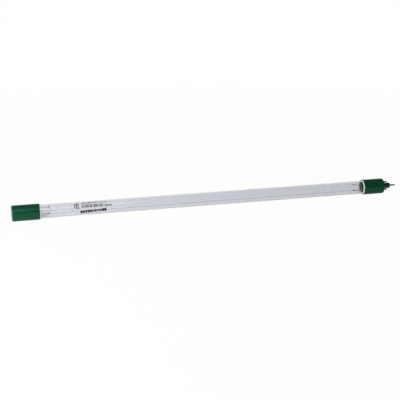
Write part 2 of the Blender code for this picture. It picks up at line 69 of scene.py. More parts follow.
# Places along the lamp and across it, read from the solids.
CLOSED_FACE, BLIND_MOUTH = (corner[0] for corner in corners("blind_cap"))
BASE_MOUTH, NOSE_FACE = (corner[0] for corner in corners("base_shell"))
AXIS_HEIGHT = sum(corner[2] for corner in corners("blind_cap")) / 2
CAP_RADIUS = AXIS_HEIGHT - corners("blind_cap")[0][2]
PIN_PLACES = {node: sum(corners(node)) / 2 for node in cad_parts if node.endswith("_pin")}
LEAN = math.atan2(PIN_PLACES["upper_short_pin"][1], PIN_PLACES["upper_short_pin"][2] - AXIS_HEIGHT)

# Sizes of the quartz.
TUBE_RADIUS = 7.5 * MM
TUBE_WALL = 1.0 * MM
TUBE_INSERT = 6.2 * MM
SHOULDER_TAPER = 5.5 * MM
PINCH_LENGTH = 7.5 * MM
PINCH_WIDTH = 12.6 * MM
PINCH_THICKNESS = 3.4 * MM
PINCH_SQUARENESS = 7.0
DISCHARGE_END_WIDTH = 9.2 * MM
DISCHARGE_END_THICKNESS = 1.0 * MM
DRAW_LINE_DEPTH = 0.035 * MM
EXHAUST_RADIUS = 1.4 * MM
EXHAUST_BORE_RADIUS = 0.49 * MM
EXHAUST_REACH = 2.6 * MM
EXHAUST_END_ANGLE = 174  # of the 180 degrees of its round end, where a pole closes it
# Reach of the painted shade low in the quartz beside the closed cap: along the lamp from its mouth, and down
# from the axis.
PAINTED_SHADE_LENGTH = 14.0 * MM
PAINTED_SHADE_DEPTH = 2.0 * MM

# Share of a lamp's light that the quartz lets through, as a colour.
QUARTZ_SHADOW = (0.975, 0.975, 0.98, 1.0)

# Sizes of the caps.
CAP_INNER = 8.05 * MM
MOUTH_ROUNDING = 0.15 * MM
BLIND_FLOOR = 2.0 * MM
BLIND_EDGE_RADIUS = 1.2 * MM
GATE_RADIUS = 0.9 * MM
GATE_FLOOR_RADIUS = 0.72 * MM
GATE_DEPTH = 0.12 * MM
BASE_FLOOR = 2.7 * MM
BASE_EDGE_RADIUS = 1.5 * MM
NOSE_RADIUS = 3.2 * MM
NOSE_STRAIGHT = 3.0 * MM
NOSE_ROOT_FILLET = 0.35 * MM
NOSE_EDGE_ROUNDING = 0.4 * MM
NOSE_WALL = 1.2 * MM
NOSE_TIP_WALL = 2.0 * MM
SHOULDER_FACE = NOSE_FACE - 7.2 * MM
PIN_HOLE_RADIUS = 0.88 * MM

# Sizes of the cement and the beads.
CEMENT_INNER = 7.65 * MM
CEMENT_OUTER = 7.9 * MM
CEMENT_DEPTH = 5.6 * MM
BEAD_GAP = 0.1 * MM
BEAD_LENGTH = 1.2 * MM
BEAD_HEIGHT = 0.62 * MM
BEAD_UNEVENNESS = 0.006  # as a share of the bead's distance from the axis

# Sizes of the pins. A pin's point narrows as the root of 1 - POINT_FALL * share ** POINT_POWER.
PIN_RADIUS = 0.8 * MM
PIN_COLLAR_RADIUS = 1.1 * MM
PIN_COLLAR = (0.1 * MM, 0.7 * MM)
POINT_FALL = 0.97
POINT_POWER = 1.6
LONG_PIN = {"wall": 2.0 * MM, "tail": 2.6 * MM, "point": 1.9 * MM, "bore": 0.24 * MM}
SHORT_PIN = {"wall": 2.7 * MM, "tail": 1.5 * MM, "point": 1.2 * MM, "bore": 0.37 * MM}

# Sizes of the electrodes and wires.
LEAD_OFFSET = 3.4 * MM
LEAD_RADIUS = 0.35 * MM
HOOK_RADIUS = 0.66 * MM
HOOK_TURN = math.radians(225)
BLIND_HOOK = BLIND_MOUTH + 10.5 * MM
BASE_HOOK = BASE_MOUTH - 11.2 * MM
BLIND_ELECTRODE_RISE = 0.9 * MM
BASE_ELECTRODE_RISE = 0.3 * MM
STRAND_RADIUS = 0.11 * MM
FILAMENT_WIRE_RADIUS = 0.032 * MM
COIL_RADIUS = 0.64 * MM
COIL_HALF_LENGTH = 2.3 * MM
COIL_TURNS = 8
STRAND_TURNS = 26
STRAND_STEPS = 10  # points along the wire in each of its turns
COIL_TO_TAIL_STEPS = 6  # how many times as many points the coil has as a tail
COIL_BOW = 1.6 * MM
COIL_TAIL = 0.6 * MM
SCORCH_FULL = 1.0 * MM
SCORCH_END = 2.6 * MM
RETURN_WIRE_RADIUS = 0.12 * MM
RETURN_WIRE_REACH = 7.775 * MM
RETURN_WIRE_WANDER = math.radians(0.8)
RETURN_WIRE_WAVES = 3
NEAR_WIRE_ANGLE = math.radians(21)
FAR_WIRE_ANGLE = math.radians(54)
WIRE_LOOP_DEPTH = 4.3 * MM
SEAL_HOLE_DEPTH = 1.5 * MM

# Sizes of the marks in the materials. A pair is the length along the lamp and the width across it.
FLOW_STREAK = (16 * MM, 2.4 * MM)
ORANGE_PEEL = 0.7 * MM
DRAW_BAND = (125 * MM, 3.3 * MM)
BEAD_WAVE = 1.2 * MM
PIN_STAIN = 0.9 * MM
INK_PATCH = 0.8 * MM
# These are drawn coarser than real, so that they show. Real cement dust is under 0.1 mm, turning marks are
# 0.05 mm apart, and rolling lines and emitter grains 0.01 mm. A turning mark goes right round its pin.
CEMENT_GRAIN = 0.5 * MM
TURNING_MARK = (0.12 * MM, 1.0)
ROLLING_LINE = (5 * MM, 0.125 * MM)
EMITTER_GRAIN = 0.2 * MM


class PrintedRow(NamedTuple):
    """A row of plain bars on the quartz, in millimetres and degrees."""

    start: float  # from the closed face of the lamp to the first bar
    length: float
    angle: float  # above the horizontal on the near side, at the first bar
    height: float  # of a bar, round the tube
    pitch: float  # from one bar to the next
    inked: float  # share of the pitch that a bar takes
    climb: float = 0.0  # how much higher the angle is at the last bar


BLOCK_ROW = PrintedRow(start=66.5, length=5.2, angle=40, height=7.2, pitch=1.8, inked=0.55)
UPPER_ROW = PrintedRow(start=74.5, length=27, angle=62, height=1.7, pitch=1.5, inked=0.55)
MIDDLE_ROW = PrintedRow(start=74.5, length=24, angle=33, height=3.3, pitch=1.7, inked=0.55)
END_ROW = PrintedRow(start=99.5, length=8, angle=29, height=2.5, pitch=1.6, inked=0.6)
BOLD_ROW = PrintedRow(start=72.7, length=29.6, angle=-14, climb=7, height=3.2, pitch=2.6, inked=0.88)
INK_LIFT = 0.012 * MM
INK_THICKNESS = 0.02 * MM

# How the bars vary: the spread and limits of their inked share, and the share of bars that are short.
BARS_SEED = 7
INKED_SPREAD = 0.12
LEAST_INKED = 0.2
MOST_INKED = 0.94
SHORT_BARS = 0.3
SHORT_BAR_HEIGHT = 0.7

# Edges that turn by more than this many degrees stay sharp.
SHARP_ANGLE = 35

# The photograph's frame: the lens in pixels of a 400-pixel frame, and where the camera stands.
FRAME_WIDTH = 400
FOCAL_PIXELS = 1009.3
SENSOR_WIDTH = 36.0
CAMERA_AZIMUTH = math.radians(-14.92)
CAMERA_ELEVATION = math.radians(16.5)
CAMERA_DISTANCE = 1.128
CAMERA_TARGET = (-0.0139, 0.0, 0.00799)


class SoftLight(NamedTuple):
    """A rectangular light, in metres."""

    name: str
    size: tuple
    place: tuple
    target: tuple


KEY_LIGHT = SoftLight("key_soft", size=(1.6, 0.6), place=(-0.6, -0.93, 1.3), target=(-0.6, 0, 0))
FILL_LIGHT = SoftLight("fill_soft", size=(0.3, 0.3), place=(-0.62, -0.4, 0.22), target=(-0.2, 0, 0))
SIDE_LIGHT = SoftLight("side_soft", size=(0.3, 0.3), place=(-1.1, -0.2, 0.35), target=(0, 0, 0))

# Gloss sees the room white behind the lamp and below it. The white begins where a ray of length one reaches
# BACKDROP_EDGE along this direction, and is full at BACKDROP_FULL.
BACKDROP_DIRECTION = (0.25, 0.93, -1.2)
BACKDROP_EDGE = 0.1
BACKDROP_FULL = 0.5

# The floor, in metres: half its width, and where its lift to white starts and ends to grow.
FLOOR_HALF = 6.0
LIFT_STARTS = 0.3
LIFT_ENDS = 0.9


def linear(code):
    """Turns an sRGB hex colour into the linear values that shaders use."""
    values = np.array([int(code[i:i + 2], 16) for i in (1, 3, 5)]) / 255
    return tuple(np.where(values <= 0.04045, values / 12.92, ((values + 0.055) / 1.055) ** 2.4))


def colour_property(name, description, code):
    """A colour setting, opaque, whose default is an sRGB hex value."""
    return FloatVectorProperty(
        name=name, description=description, default=(*linear(code), 1.0), subtype="COLOR", size=4, min=0,
        max=1,
    )


def size_property(name, description, default, low, high):
    """A length setting in metres."""
    return FloatProperty(
        name=name, description=description, default=default, min=low, max=high, subtype="DISTANCE",
        unit="LENGTH", precision=5,
    )


def share_property(name, description, default):
    """A setting from 0 to 1."""
    return FloatProperty(name=name, description=description, default=default, min=0, max=1, subtype="FACTOR")


def power_property(name, description, default):
    """The power setting of a light."""
    return FloatProperty(name=name, description=description, default=default, min=0, unit="POWER")


class LampFinish(bpy.types.PropertyGroup):
    """Colours of the lamp's materials, and the sizes that a user would change."""

    resin: colour_property("Resin", "Green of the moulded caps", "#12462f")
    resin_dark: colour_property("Resin, dark flow", "Darker streaks in the moulded caps", "#0c3a27")
    resin_sheen: colour_property("Resin, sheen", "Green cast of the highlights on the caps", "#90ffcc")
    quartz: colour_property("Quartz", "Tint of the fused quartz", "#eaebef")
    quartz_greyed: colour_property("Quartz, greyed", "Tint of the quartz towards the base", "#dedfe3")
    # Painted shade: a darker tint for the quartz low down beside the closed cap.
    quartz_painted_shade: colour_property("Quartz, deposit", "Tint of the quartz under the deposit", "#cac8d0")
    cement: colour_property("Cement", "Basing cement", "#f0c8b2")
    cement_dark: colour_property("Cement, dark grain", "Darker grains of the basing cement", "#ddb39c")
    bead: colour_property("Bead", "White sealing bead", "#e6ece4")
    pin: colour_property("Pins", "Dulled plating of the pins", "#78726a")
    pin_dark: colour_property("Pins, stain", "Darker stain on the pins", "#4c4740")
    wire: colour_property("Wires", "Nickel-plated wire inside the quartz", "#c4c5cc")
    wire_tarnished: colour_property("Wires, tarnished", "Nickel-plated wire in the open air", "#77787f")
    wire_scorched: colour_property("Wires, scorched", "Lead ends beside the filament", "#34343c")
    filament: colour_property("Filament", "Emitter coating on the filament", "#c9c9c6")
    ink: colour_property("Ink", "Printed bars", "#23232f")
    tube_wall: size_property("Tube wall", "Wall of the quartz tube", TUBE_WALL, 0.5 * MM, 2 * MM)
    bead_height: size_property("Bead height", "How far the beads stand out", BEAD_HEIGHT, 0.1 * MM, 0.8 * MM)


class LampStage(bpy.types.PropertyGroup):
    """The floor and the studio light."""

    floor: colour_property("Floor", "Pale floor", "#fafafa")
    lift_near: share_property("Lift beside the lamp", "White in the floor beside the lamp", 0.965)
    lift_far: share_property("Lift far off", "White in the floor far from the lamp", 0.995)
    lift_gloss: share_property("Lift in gloss", "White in the floor where gloss mirrors it", 0.2)
    key_power: power_property("Key power", "Power of the large soft light in front", 5.1)
    fill_power: power_property("Fill power", "Power of the nearer soft light on the left", 3.0)
    side_power: power_property("Side power", "Power of the light at the closed end", 5.0)
    surround: share_property("Surround", "Brightness of the room that lights the lamp", 0.22)
    dark_room: share_property("Dark room", "Brightness that gloss sees away from the backdrop", 0.12)


def side_by_side(*columns):
    """Arrays or numbers spread to one shape and set side by side, such as x, y and z as points."""
    return np.stack(np.broadcast_arrays(*columns), axis=-1)


def all_round(columns, start=0.0):
    """Even angles right round a circle, from a start given in steps."""
    return 2 * np.pi * (np.arange(columns) + start) / columns


def lamp_points(x, y, z):
    """Turns lamp coordinates into the scene's. x runs along the lamp, z lies in the plane of the leads and y
    across it. That plane leans back by LEAN, and the axis lies at AXIS_HEIGHT."""
    cos, sin = math.cos(LEAN), math.sin(LEAN)
    return side_by_side(x, y * cos + z * sin, AXIS_HEIGHT - y * sin + z * cos)


def turned(profile, centre=(0.0, AXIS_HEIGHT), columns=128, ripple=1.0):
    """Rows of points round an axis along X. The point at angle a of a profile point (x, r) is x along and
    r from the axis. ripple, one factor for each column, swells or shrinks r."""
    angle = all_round(columns)
    x, radius = np.asarray(profile).T[:, :, None]
    reach = radius * ripple
    return side_by_side(x, centre[0] + reach * np.cos(angle), centre[1] + reach * np.sin(angle))


def arc(centre, radius, start, end, count):
    """Profile points on a circle about the centre, from one angle in degrees to another."""
    angle = np.radians(np.linspace(start, end, count))
    return side_by_side(centre[0] + radius * np.cos(angle), centre[1] + radius * np.sin(angle))


def profile_of(*stretches):
    """One profile from single points and rows of points, end to end."""
    return np.concatenate([np.atleast_2d(np.asarray(stretch, dtype=float)) for stretch in stretches])


def ended(rows):
    """The rows with a pole at each end, at the middle of the first and the last."""
    first, last = (np.broadcast_to(rows[i].mean(axis=0), rows[i].shape)[None] for i in (0, -1))
    return np.concatenate([first, rows, last])


def unit(vectors):
    """Vectors of length one in the same directions."""
    return vectors / np.linalg.norm(vectors, axis=-1, keepdims=True)


def square_to(direction, reference):
    """Two unit vectors square to a direction: one towards the reference, and one square to both."""
    across = unit(reference - np.sum(reference * direction, axis=-1, keepdims=True) * direction)
    return across, np.cross(direction, across)


def swept(path, radius, reference, columns):
    """A round profile carried along a path in lamp coordinates. Each circle stands square to the path, and
    its first point lies towards the reference direction. A pole closes each end."""
    direction = unit(np.gradient(path, axis=0))
    across, beside = square_to(direction, np.broadcast_to(reference, path.shape))
    angle = all_round(columns)[:, None]
    circle = across[:, None] * np.cos(angle) + beside[:, None] * np.sin(angle)
    rows = ended(path[:, None] + radius * circle)
    return lamp_points(rows[..., 0], rows[..., 1], rows[..., 2])


def skin(rows, ring=False, inwards=False):
    """Faces over a grid of points whose columns wrap round. A row of equal points becomes one pole. With
    ring, the last row joins the first. The faces point outwards, or into a hollow."""
    count, columns = rows.shape[:2]
    ids = np.arange(count * columns).reshape(count, columns)
    poles = np.ptp(rows, axis=1).max(axis=1) < 1e-9
    ids[poles] = ids[poles, :1]
    low, high = (ids, np.roll(ids, -1, axis=0)) if ring else (ids[:-1], ids[1:])
    quads = side_by_side(low, np.roll(low, -1, axis=1), np.roll(high, -1, axis=1), high).reshape(-1, 4)
    low_pole = quads[:, 0] == quads[:, 1]
    high_pole = quads[:, 2] == quads[:, 3]
    triangles = np.concatenate([quads[low_pole][:, [0, 2, 3]], quads[high_pole][:, [0, 1, 2]]])
    quads = quads[~low_pole & ~high_pole]
    points = rows.reshape(-1, 3)
    middle = points.mean(axis=0)
    halves = np.concatenate([quads[:, [0, 1, 2]], quads[:, [0, 2, 3]], triangles])
    a, b, c = (points[halves[:, i]] - middle for i in range(3))
    if (np.sum(a * np.cross(b, c)) < 0) != inwards:
        quads, triangles = quads[:, ::-1], triangles[:, ::-1]
    return points, quads, triangles


def piece(name, skins, material, stands_for=None, sharp=SHARP_ANGLE):
    """One object from one or more skins, smooth apart from its sharp edges, riding on the lamp."""
    offsets = np.cumsum([0] + [len(part[0]) for part in skins])
    points = np.concatenate([part[0] for part in skins])
    quads, triangles = (
        np.concatenate([part[i] + offset for part, offset in zip(skins, offsets)]) for i in (1, 2)
    )
    used, corner_ids = np.unique(np.concatenate([quads.ravel(), triangles.ravel()]), return_inverse=True)
    mesh = bpy.data.meshes.new(name)
    mesh.vertices.add(len(used))
    mesh.vertices.foreach_set("co", points[used].ravel())
    sizes = np.concatenate([np.full(len(quads), 4), np.full(len(triangles), 3)])
    mesh.loops.add(len(corner_ids))
    mesh.loops.foreach_set("vertex_index", corner_ids.ravel())
    mesh.polygons.add(len(sizes))
    mesh.polygons.foreach_set("loop_start", np.concatenate([[0], np.cumsum(sizes)[:-1]]))
    mesh.update(calc_edges=True)
    mesh.validate()
    mesh.shade_smooth()
    mesh.set_sharp_from_angle(angle=math.radians(sharp))
    mesh.materials.append(material)
    made = bpy.data.objects.new(name, mesh)
    bpy.context.scene.collection.objects.link(made)
    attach(made, "root")
    if stands_for:
        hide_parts(stands_for)
    return made


def add_node(tree, kind, inputs=None, **settings):
    """Adds a shader node with its settings. Each input, by number or by its name among those in use, is set
    to a value or linked to a socket or to the first output of a node."""
    node = tree.nodes.new(f"ShaderNode{kind}")
    for name, value in settings.items():
        setattr(node, name, value)
    for key, value in (inputs or {}).items():
        by_name = (socket for socket in node.inputs if socket.enabled and socket.name == key)
        socket = node.inputs[key] if isinstance(key, int) else next(by_name)
        if isinstance(value, bpy.types.Node):
            value = next(output for output in value.outputs if output.enabled)
        if isinstance(value, bpy.types.NodeSocket):
            tree.links.new(value, socket)
        else:
            socket.default_value = value
    return node


def material_from(recipe, settings):
    """The material that a recipe gives, made once and named after it. The recipe gets an empty tree, the
    Object coordinates and the settings, and returns the last shader."""
    made = bpy.data.materials.get(recipe.__name__)
    if made:
        return made
    made = bpy.data.materials.new(recipe.__name__)
    made.use_nodes = True
    tree = made.node_tree
    tree.nodes.clear()
    add = partial(add_node, tree)
    place = add("TexCoord").outputs["Object"]
    add("OutputMaterial", {"Surface": recipe(add, place, settings)})
    return made


def stretched(mark):
    """Scale of a pattern whose marks have a length along the lamp and a width across it."""
    length, width = mark
    return 1 / length, 1 / width, 1 / width


def moulded_resin(add, place, finish):
    """Half-gloss PBT, injection moulded. The melt flows along the cap, which leaves faint darker streaks
    that way, and the mould's fine orange peel breaks up the highlights."""
    along = add("Mapping", {"Vector": place, "Scale": stretched(FLOW_STREAK)})
    flow = add("TexNoise", {"Vector": along, "Scale": 1.0, "Detail": 4.0})
    colour = add("Mix", {"Factor": flow, "A": finish.resin, "B": finish.resin_dark}, data_type="RGBA")
    gloss = add("MapRange", {"Value": flow, "To Min": 0.17, "To Max": 0.27})
    peel = add("TexNoise", {"Vector": place, "Scale": 1 / ORANGE_PEEL, "Detail": 2.0})
    bump = add("Bump", {"Height": peel, "Strength": 0.25, "Distance": 0.02 * MM})
    return add(
        "BsdfPrincipled",
        {
            "Base Color": colour, "Roughness": gloss, "Normal": bump, "IOR": 1.5,
            "Specular Tint": finish.resin_sheen,
        },
    )


def fused_quartz(add, place, finish):
    """Clear fused quartz, drawn and fire polished. It is smooth, and slightly greyed by the first hours of
    burning.
    Low in the closed end, beside the filament, shade is painted in as a darker tint. It lets the studio's
    lamps through, so that the leads inside it and the floor below are lit."""
    along = add("Mapping", {"Vector": place, "Scale": stretched(DRAW_BAND)})
    film = add("TexNoise", {"Vector": along, "Scale": 1.0, "Detail": 2.0})
    across = add("SeparateXYZ", {0: place})
    grey = add("MapRange", {"Value": across.outputs["X"], "From Min": BLIND_MOUTH, "From Max": BASE_MOUTH})
    colour = add("Mix", {"Factor": grey, "A": finish.quartz, "B": finish.quartz_greyed}, data_type="RGBA")
    # Painted shade: the quartz is tinted darker low down in the closed end, beside the filament.
    near_end = add(
        "MapRange",
        {"Value": across.outputs["X"], "From Min": BLIND_MOUTH + PAINTED_SHADE_LENGTH, "From Max": BLIND_MOUTH},
    )
    low_down = add(
        "MapRange",
        {"Value": across.outputs["Z"], "From Min": AXIS_HEIGHT, "From Max": AXIS_HEIGHT - PAINTED_SHADE_DEPTH},
    )
    painted_shade = add("Math", {0: near_end, 1: low_down}, operation="MULTIPLY")
    tinted = add("Mix", {"Factor": painted_shade, "A": colour, "B": finish.quartz_painted_shade}, data_type="RGBA")
    haze = add("MapRange", {"Value": film, "To Min": 0.02, "To Max": 0.07})
    glass = add(
        "BsdfPrincipled", {"Base Color": tinted, "Roughness": haze, "IOR": 1.458, "Transmission Weight": 1.0}
    )
    path = add("LightPath")
    clear = add("BsdfTransparent", {"Color": QUARTZ_SHADOW})
    return add("MixShader", {0: path.outputs["Is Shadow Ray"], 1: glass, 2: clear})


def basing_cement(add, place, finish):
    """Phenolic basing cement, filled with stone dust and baked hard: matt and grainy, with dark specks."""
    grain = add("TexNoise", {"Vector": place, "Scale": 1 / CEMENT_GRAIN, "Detail": 3.0})
    colour = add("Mix", {"Factor": grain, "A": finish.cement, "B": finish.cement_dark}, data_type="RGBA")
    bump = add("Bump", {"Height": grain, "Strength": 0.5, "Distance": 0.015 * MM})
    return add("BsdfPrincipled", {"Base Color": colour, "Normal": bump, "Roughness": 0.85})


def sealing_silicone(add, place, finish):
    """White silicone laid on as a bead and smoothed wet: satin and a little uneven."""
    waves = add("TexNoise", {"Vector": place, "Scale": 1 / BEAD_WAVE, "Detail": 2.0})
    bump = add("Bump", {"Height": waves, "Strength": 0.5, "Distance": 0.06 * MM})
    return add("BsdfPrincipled", {"Base Color": finish.bead, "Normal": bump, "Roughness": 0.45, "IOR": 1.41})


def dulled_nickel(add, place, finish):
    """Nickel plating on turned brass, dulled by handling: soft reflections, fine turning marks round the pin
    and browner stains."""
    stain = add("TexNoise", {"Vector": place, "Scale": 1 / PIN_STAIN, "Detail": 3.0})
    colour = add("Mix", {"Factor": stain, "A": finish.pin, "B": finish.pin_dark}, data_type="RGBA")
    across = add("Mapping", {"Vector": place, "Scale": stretched(TURNING_MARK)})
    marks = add("TexNoise", {"Vector": across, "Scale": 1.0, "Detail": 1.0})
    bump = add("Bump", {"Height": marks, "Strength": 0.3, "Distance": 0.01 * MM})
    return add("BsdfPrincipled", {"Base Color": colour, "Normal": bump, "Roughness": 0.38, "Metallic": 1.0})


def plated_wire(add, place, finish):
    """Nickel-plated wire, drawn through a die: smooth and grey. It stays bright inside the quartz, apart
    from a blue-black scorch beside each filament, where it runs hot, and tarnishes in the open air."""
    along = add("SeparateXYZ", {0: place})
    hot = []
    for hook in (BLIND_HOOK, BASE_HOOK):
        away = add("Math", {0: along.outputs["X"], 1: hook}, operation="SUBTRACT")
        distance = add("Math", {0: away}, operation="ABSOLUTE")
        hot.append(add("MapRange", {"Value": distance, "From Min": SCORCH_END, "From Max": SCORCH_FULL}))
    either = add("Math", {0: hot[0], 1: hot[1]}, operation="MAXIMUM")
    off_axis = add("VectorMath", {0: place, 1: (0.0, 0.0, -AXIS_HEIGHT)}, operation="ADD")
    flat = add("VectorMath", {0: off_axis, 1: (0.0, 1.0, 1.0)}, operation="MULTIPLY")
    reach = add("VectorMath", {0: flat}, operation="LENGTH")
    inside = add("Math", {0: reach, 1: TUBE_RADIUS}, operation="LESS_THAN")
    scorch = add("Math", {0: either, 1: inside}, operation="MULTIPLY")
    aged = add("Mix", {"Factor": inside, "A": finish.wire_tarnished, "B": finish.wire}, data_type="RGBA")
    colour = add("Mix", {"Factor": scorch, "A": aged, "B": finish.wire_scorched}, data_type="RGBA")
    gloss = add("MapRange", {"Value": inside, "To Min": 0.32, "To Max": 0.48})
    return add("BsdfPrincipled", {"Base Color": colour, "Roughness": gloss, "Metallic": 1.0})


def coated_tungsten(add, place, finish):
    """Coiled tungsten wire dipped in an oxide emitter: chalky and pale, with darker metal between grains."""
    grain = add("TexNoise", {"Vector": place, "Scale": 1 / EMITTER_GRAIN, "Detail": 2.0})
    colour = add("Mix", {"Factor": grain, "A": finish.filament, "B": finish.wire}, data_type="RGBA")
    return add("BsdfPrincipled", {"Base Color": colour, "Roughness": 0.7, "Metallic": 0.2})


def molybdenum_foil(add, place, finish):
    """Rolled molybdenum foil: thin, grey and satin, with rolling lines along the lamp."""
    along = add("Mapping", {"Vector": place, "Scale": stretched(ROLLING_LINE)})
    lines = add("TexNoise", {"Vector": along, "Scale": 1.0})
    gloss = add("MapRange", {"Value": lines, "To Min": 0.25, "To Max": 0.45})
    return add("BsdfPrincipled", {"Base Color": finish.wire, "Roughness": gloss, "Metallic": 1.0})


def fired_ink(add, place, finish):
    """Ceramic ink stamped on the quartz and fired: thin, matt and slightly patchy."""
    patches = add("TexNoise", {"Vector": place, "Scale": 1 / INK_PATCH, "Detail": 3.0})
    cover = add("MapRange", {"Value": patches, "To Min": 0.5, "To Max": 0.8})
    return add("BsdfPrincipled", {"Base Color": finish.ink, "Roughness": cover})


def paper_sweep(add, place, stage):
    """Matt white paper, laid flat. The camera, and rays that glass and gloss send on, see it brought up to
    white, least near the lamp, so that its soft shadow stays."""
    path = add("LightPath")
    seen = add(
        "Math", {0: path.outputs["Is Camera Ray"], 1: path.outputs["Is Transmission Ray"]},
        operation="MAXIMUM",
    )
    away = add("VectorMath", {0: place}, operation="LENGTH")
    lift = add(
        "MapRange",
        {
            "Value": away, "From Min": LIFT_STARTS, "From Max": LIFT_ENDS, "To Min": stage.lift_near,
            "To Max": stage.lift_far,
        },
        interpolation_type="SMOOTHSTEP",
    )
    gloss = add("Math", {0: path.outputs["Is Glossy Ray"], 1: stage.lift_gloss}, operation="MULTIPLY")
    share = add("Mix", {"Factor": seen, "A": gloss, "B": lift})
    paper = add("BsdfPrincipled", {"Base Color": stage.floor, "Roughness": 0.9, "Specular IOR Level": 0.0})
    white = add("Emission", {"Color": (1, 1, 1, 1), "Strength": 1.0})
    return add("MixShader", {0: share, 1: paper, 2: white})


def studio_room(stage):
    """The room: white where the camera looks and through glass, white for gloss only towards the backdrop
    behind the lamp and dark elsewhere, and an even soft light on matt surfaces."""
    room = bpy.data.worlds.new("studio_room")
    room.use_nodes = True
    tree = room.node_tree
    tree.nodes.clear()
    add = partial(add_node, tree)
    direction = add("TexCoord").outputs["Generated"]
    backdrop = add("VectorMath", {0: direction, 1: BACKDROP_DIRECTION}, operation="DOT_PRODUCT")
    gloss = add(
        "MapRange",
        {"Value": backdrop, "From Min": BACKDROP_EDGE, "From Max": BACKDROP_FULL, "To Min": stage.dark_room},
    )
    path = add("LightPath")
    glossy = add("Mix", {"Factor": path.outputs["Is Glossy Ray"], "A": stage.surround, "B": gloss})
    seen = add(
        "Math", {0: path.outputs["Is Camera Ray"], 1: path.outputs["Is Transmission Ray"]},
        operation="MAXIMUM",
    )
    strength = add("Mix", {"Factor": seen, "A": glossy, "B": 1.0})
    background = add("Background", {"Color": (1, 1, 1, 1), "Strength": strength})
    add("OutputWorld", {"Surface": background})
    return room


def smooth_step(share):
    """Turns even shares of the way into ones that start and end gently."""
    return share * share * (3 - 2 * share)


def tube_end(mouth, outwards, radius, width, thickness, length):
    """Sections of a tube end that closes from a circle to a bar: x, half width, half thickness and
    squareness, each eased over the length."""
    share = np.linspace(0, 1, 25)
    eased = smooth_step(share)
    return side_by_side(
        mouth + outwards * (TUBE_INSERT + length * share),
        radius + (width / 2 - radius) * eased,
        radius + (thickness / 2 - radius) * eased,
        2 + (PINCH_SQUARENESS - 2) * eased,
    )


def squared_rows(sections, ripple=0.0):
    """Points round each section (x, half width, half thickness, squareness). At angle a, y is half thickness
    times cos a and z half width times sin a, each raised to 2 over the squareness with its sign kept. ripple
    is the depth of the draw lines, a sum of three waves round the tube."""
    angle = all_round(144, 0.5)
    x, half_width, half_thickness, squareness = sections.T[:, :, None]
    waves = np.sin(5 * angle + 0.7) + 0.7 * np.sin(11 * angle + 2.0) + 0.5 * np.sin(17 * angle + 1.0)
    depth = ripple * waves / 2
    cos, sin = np.cos(angle), np.sin(angle)
    y = (half_thickness + depth) * np.sign(cos) * np.abs(cos) ** (2 / squareness)
    z = (half_width + depth) * np.sign(sin) * np.abs(sin) ** (2 / squareness)
    return lamp_points(x, y, z)


def exhaust_end(pinch_end, x_bore):
    """Sections of the sealed exhaust stub in the middle of the blind pinch, outside and inside: round, with
    a round end a radius deep outside, and a straight bore inside."""
    middle = (pinch_end - EXHAUST_REACH + EXHAUST_RADIUS, 0)
    outside = profile_of((pinch_end, EXHAUST_RADIUS), arc(middle, EXHAUST_RADIUS, 90, EXHAUST_END_ANGLE, 10))
    inside = profile_of((x_bore, EXHAUST_BORE_RADIUS), (pinch_end, EXHAUST_BORE_RADIUS))
    return [side_by_side(part[:, 0], part[:, 1], part[:, 1], 2.0) for part in (outside, inside)]


class LAMP_OT_quartz_tube(bpy.types.Operator):
    """Builds the quartz tube, round along its length and pinched flat at both ends"""

    bl_idname = "lamp.quartz_tube"
    bl_label = "Quartz tube"

    def execute(self, context):
        finish = context.scene.lamp_finish
        inner_radius = TUBE_RADIUS - finish.tube_wall
        inner_taper = SHOULDER_TAPER - finish.tube_wall / 2
        outer, inner = [], []
        for mouth, outwards in ((BLIND_MOUTH, -1), (BASE_MOUTH, 1)):
            end = tube_end(mouth, outwards, TUBE_RADIUS, PINCH_WIDTH, PINCH_THICKNESS, SHOULDER_TAPER)
            outer.append(profile_of(end, end[-1] + [outwards * PINCH_LENGTH, 0, 0, 0]))
            inner.append(
                tube_end(
                    mouth, outwards, inner_radius, DISCHARGE_END_WIDTH, DISCHARGE_END_THICKNESS, inner_taper
                )
            )
        stub, bore = exhaust_end(outer[0][-1][0], inner[0][-1][0])
        outer_rows = squared_rows(profile_of(stub[::-1], outer[0][::-1], outer[1]))
        inner_rows = squared_rows(profile_of(bore[::-1], inner[0][::-1], inner[1]), ripple=DRAW_LINE_DEPTH)
        skins = [skin(ended(outer_rows)), skin(ended(inner_rows), inwards=True)]
        piece("quartz_tube", skins, material_from(fused_quartz, finish), "quartz_envelope")
        return {"FINISHED"}


class LAMP_OT_blind_cap(bpy.types.Operator):
    """Builds the closed green cap with its rounded edge and the small gate mark in its end"""

    bl_idname = "lamp.blind_cap"
    bl_label = "Closed cap"

    def execute(self, context):
        edge = (CLOSED_FACE + BLIND_EDGE_RADIUS, CAP_RADIUS - BLIND_EDGE_RADIUS)
        rim = (BLIND_MOUTH - MOUTH_ROUNDING, CAP_RADIUS - MOUTH_ROUNDING)
        floor = CLOSED_FACE + BLIND_FLOOR
        profile = profile_of(
            (CLOSED_FACE + GATE_DEPTH, 0),
            (CLOSED_FACE + GATE_DEPTH, GATE_FLOOR_RADIUS),
            (CLOSED_FACE, GATE_RADIUS),
            arc(edge, BLIND_EDGE_RADIUS, 180, 90, 13),
            arc(rim, MOUTH_ROUNDING, 90, 0, 5),
            (BLIND_MOUTH, CAP_INNER),
            (floor, CAP_INNER),
            (floor, 0),
        )
        resin = material_from(moulded_resin, context.scene.lamp_finish)
        piece("blind_cap_moulding", [skin(turned(profile))], resin, "blind_cap")
        return {"FINISHED"}


def obround_reach(angle, radius):
    """Distance from the axis to an obround outline at each angle from its long way: the flat side at radius
    where it is met first, and otherwise the round end about a centre NOSE_STRAIGHT out."""
    cos, sin = np.abs(np.cos(angle)), np.abs(np.sin(angle))
    flat = radius / np.maximum(sin, 1e-9)
    end = NOSE_STRAIGHT * cos + np.sqrt(np.maximum(radius**2 - (NOSE_STRAIGHT * sin) ** 2, 0))
    return np.where(flat * cos <= NOSE_STRAIGHT, flat, end)


